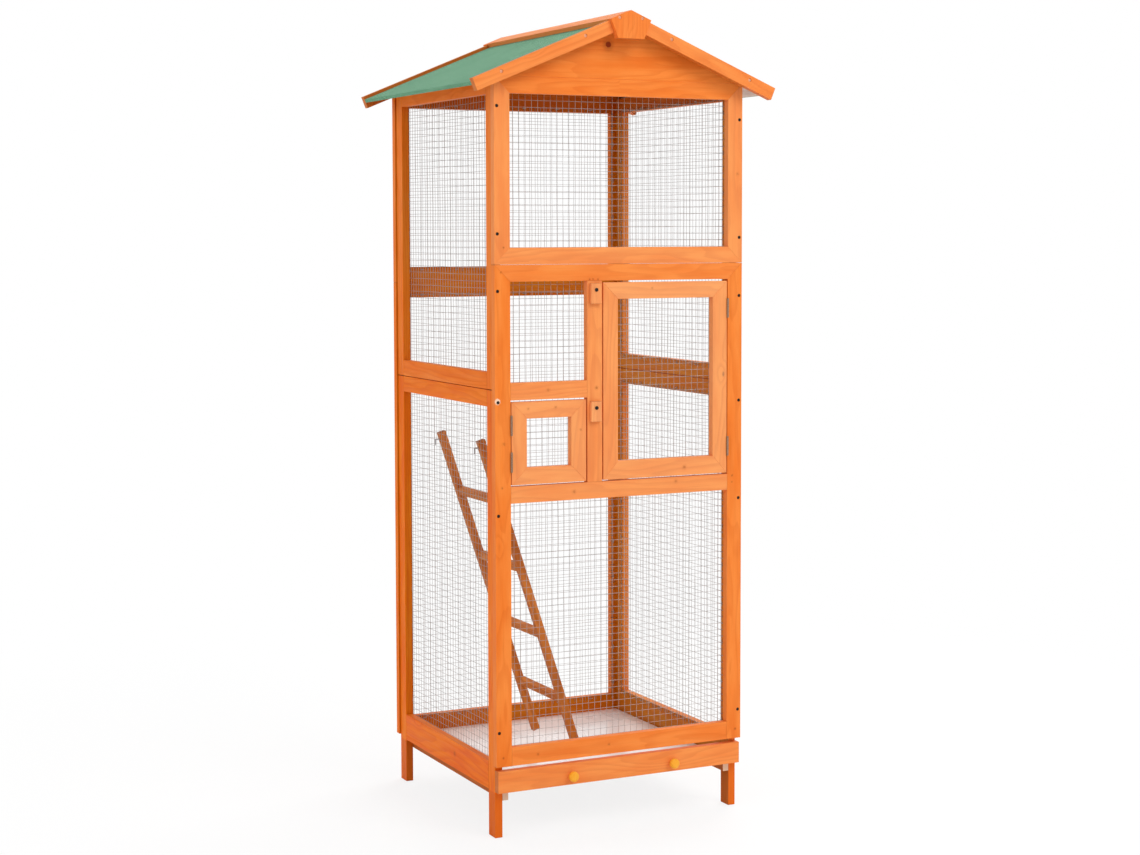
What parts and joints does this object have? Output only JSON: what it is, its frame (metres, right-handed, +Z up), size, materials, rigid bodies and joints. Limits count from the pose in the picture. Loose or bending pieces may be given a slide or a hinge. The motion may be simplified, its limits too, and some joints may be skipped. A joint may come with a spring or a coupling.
{
  "type": "bird cage",
  "caption": "Tall stained-wood bird cage with welded net walls, a felted pitched roof, hinged doors with turn buttons, a slide-out tray drawer and a leaning ladder.",
  "frame": {"origin": "on the floor, at the middle of the box round the whole cage", "axes": "+X to the right and +Y to the back, seen from the doors; +Z up"},
  "size_m": [0.6802, 0.63, 1.6498],
  "materials": {
    "stained_wood": "semi-gloss orange stain over softwood grain",
    "dark_wood": "darker stained softwood",
    "pale_wood": "lightly stained softwood",
    "raw_wood": "raw softwood",
    "knob_wood": "varnished turned wood",
    "net_wire": "galvanised welded wire",
    "zinc_steel": "zinc plated",
    "screw_steel": "black oxide",
    "tray_sheet": "smooth white sheet",
    "roof_board": "pale grey weatherproof board",
    "roof_felt": "green mineral felt"
  },
  "bodies": {
    "root": {"front_upper_left_stile": "stained_wood", "front_upper_right_stile": "stained_wood", "front_upper_top_rail": "stained_wood", "front_upper_bottom_rail": "stained_wood", "front_gable_board": "stained_wood", "front_lower_left_stile": "stained_wood", "front_lower_right_stile": "stained_wood", "front_lower_top_rail": "stained_wood", "front_mid_rail": "stained_wood", "front_bottom_rail": "stained_wood", "door_divider": "stained_wood", "small_door_lintel": "stained_wood", "left_lower_frame": "stained_wood", "left_upper_frame": "stained_wood", "right_lower_frame": "stained_wood", "right_upper_frame": "stained_wood", "back_upper_frame": "stained_wood", "back_lower_frame": "stained_wood", "back_gable_board": "stained_wood", "front_barge_boards": "stained_wood", "rear_barge_boards": "stained_wood", "ridge_caps": "stained_wood", "front_apex_plate": "stained_wood", "rear_apex_plate": "stained_wood", "ladder_rails": "dark_wood", "ladder_rungs": "dark_wood", "front_upper_net": "net_wire", "front_window_net": "net_wire", "front_lower_net": "net_wire", "left_lower_net": "net_wire", "left_upper_net": "net_wire", "right_lower_net": "net_wire", "right_upper_net": "net_wire", "back_upper_net": "net_wire", "back_lower_net": "net_wire", "hinge_frame_leaves": "zinc_steel", "hinge_pins": "zinc_steel", "ladder_hooks": "zinc_steel", "button_screws": "screw_steel", "front_screws": "screw_steel", "roof_screws": "screw_steel", "runner_battens": "raw_wood", "left_roof_board": "roof_board", "right_roof_board": "roof_board", "left_roof_felt": "roof_felt", "right_roof_felt": "roof_felt"},
    "large_door": {"large_door_stiles": "stained_wood", "large_door_rails": "stained_wood", "large_door_net": "net_wire", "large_door_hinge_leaves": "zinc_steel"},
    "small_door": {"small_door_stiles": "stained_wood", "small_door_rails": "stained_wood", "small_door_net": "net_wire", "small_door_hinge_leaves": "zinc_steel"},
    "drawer": {"drawer_front": "stained_wood", "drawer_tray": "tray_sheet", "drawer_knobs": "knob_wood"},
    "large_door_button": {"large_door_button": "pale_wood"},
    "small_door_button": {"small_door_button": "pale_wood"}
  },
  "joints": [
    {"name": "large_door_swing", "type": "hinge", "parent": "root", "child": "large_door", "pos_m": [0.2465, -0.27545, 0.91], "axis": [0, 0, 1], "range_deg": [0, 170]},
    {"name": "small_door_swing", "type": "hinge", "parent": "root", "child": "small_door", "pos_m": [-0.2465, -0.27545, 0.7925], "axis": [0, 0, -1], "range_deg": [0, 170]},
    {"name": "drawer_slide", "type": "slide", "parent": "root", "child": "drawer", "axis": [0, -1, 0], "range_m": [0, 0.42]},
    {"name": "large_door_button_turn", "type": "hinge", "parent": "root", "child": "large_door_button", "pos_m": [-0.0615, -0.2773, 1.0952], "axis": [0, -1, 0], "continuous": true},
    {"name": "small_door_button_turn", "type": "hinge", "parent": "root", "child": "small_door_button", "pos_m": [-0.0615, -0.2773, 0.858], "axis": [0, 1, 0], "continuous": true}
  ]
}
